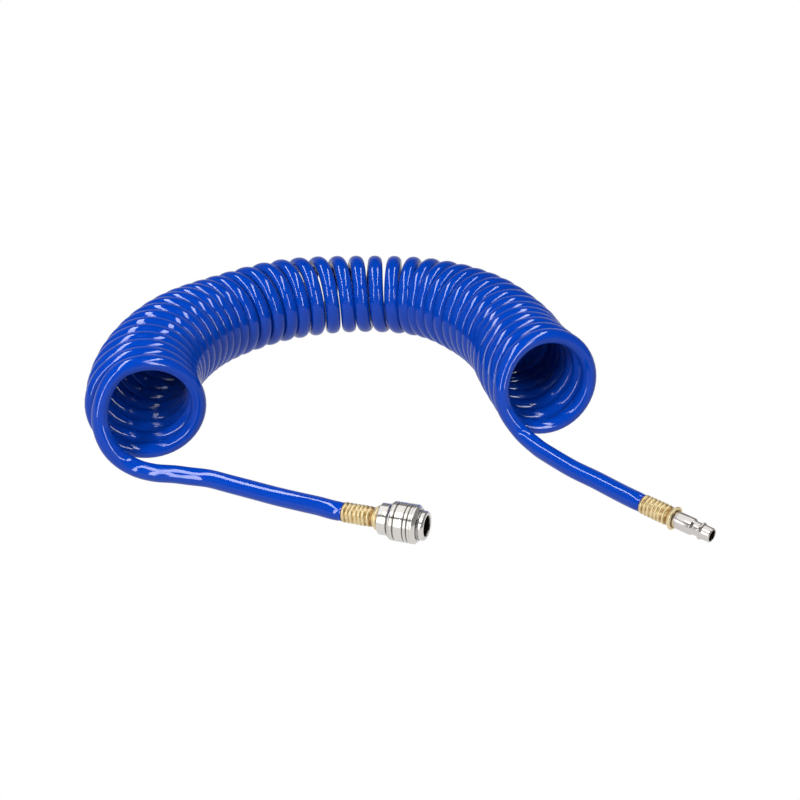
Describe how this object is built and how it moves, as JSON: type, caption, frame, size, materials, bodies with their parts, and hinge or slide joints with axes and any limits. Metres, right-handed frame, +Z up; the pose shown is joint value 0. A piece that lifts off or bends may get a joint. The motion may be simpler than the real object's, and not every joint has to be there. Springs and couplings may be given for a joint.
{
  "type": "coiled air hose",
  "caption": "Coiled polyurethane air hose lying in an arch, with crimped brass ferrules, a sleeve-locked quick coupler at one end and a matching plug at the other.",
  "frame": {"origin": "centre of the hose's bounding box, on the ground it lies on", "axes": "+Z up, -Y the way both open ends of the arch point, +X from the coupler's end of the coil to the plug's end"},
  "size_m": [0.4102, 0.3629, 0.0807],
  "materials": {
    "hose": "glossy",
    "ferrule": "satin, crimped",
    "nickel": "polished nickel plate",
    "steel": "bright",
    "rubber": "matt"
  },
  "bodies": {
    "hose": {"hose_coil": "hose", "hose_tail_coupler": "hose", "hose_tail_plug": "hose", "hose_end_coupler": "hose", "hose_end_plug": "hose", "ferrule_coupler": "ferrule", "ferrule_plug": "ferrule", "coupler_stem": "nickel", "coupler_body": "nickel", "joint_seal": "rubber", "sleeve_spring": "steel", "snap_ring": "steel", "valve_spring": "steel", "plug_seal": "rubber", "plug_nipple": "nickel"},
    "sleeve": {"lock_sleeve": "nickel"},
    "valve": {"valve_poppet": "nickel", "valve_seal": "rubber"},
    "ball_1": {"lock_ball_1": "steel"},
    "ball_2": {"lock_ball_2": "steel"},
    "ball_3": {"lock_ball_3": "steel"},
    "ball_4": {"lock_ball_4": "steel"},
    "ball_5": {"lock_ball_5": "steel"},
    "ball_6": {"lock_ball_6": "steel"}
  },
  "joints": [
    {"name": "sleeve_slide", "type": "slide", "parent": "hose", "child": "sleeve", "axis": [-0.9376, 0.345, -0.0436], "range_m": [0, 0.0028], "stiffness_N_per_m": 1500, "springref_m": -0.005, "deforming": ["sleeve_spring"]},
    {"name": "valve_slide", "type": "slide", "parent": "hose", "child": "valve", "axis": [-0.9376, 0.345, -0.0436], "range_m": [0, 0.0032], "stiffness_N_per_m": 500, "springref_m": -0.004, "deforming": ["valve_spring"]},
    {"name": "ball_slide_1", "type": "slide", "parent": "hose", "child": "ball_1", "axis": [0.2786, 0.8203, 0.4995], "range_m": [0, 0.00112]},
    {"name": "ball_slide_2", "type": "slide", "parent": "hose", "child": "ball_2", "axis": [-0.0409, 0.0151, 0.999], "range_m": [0, 0.00112]},
    {"name": "ball_slide_3", "type": "slide", "parent": "hose", "child": "ball_3", "axis": [-0.3195, -0.8052, 0.4995], "range_m": [0, 0.00112]},
    {"name": "ball_slide_4", "type": "slide", "parent": "hose", "child": "ball_4", "axis": [-0.2786, -0.8203, -0.4995], "range_m": [0, 0.00112]},
    {"name": "ball_slide_5", "type": "slide", "parent": "hose", "child": "ball_5", "axis": [0.0409, -0.0151, -0.999], "range_m": [0, 0.00112]},
    {"name": "ball_slide_6", "type": "slide", "parent": "hose", "child": "ball_6", "axis": [0.3195, 0.8052, -0.4995], "range_m": [0, 0.00112]}
  ],
  "couplings": [
    {"joint": "ball_slide_1", "follows": "sleeve_slide", "ratio": 0.4},
    {"joint": "ball_slide_2", "follows": "sleeve_slide", "ratio": 0.4},
    {"joint": "ball_slide_3", "follows": "sleeve_slide", "ratio": 0.4},
    {"joint": "ball_slide_4", "follows": "sleeve_slide", "ratio": 0.4},
    {"joint": "ball_slide_5", "follows": "sleeve_slide", "ratio": 0.4},
    {"joint": "ball_slide_6", "follows": "sleeve_slide", "ratio": 0.4}
  ]
}
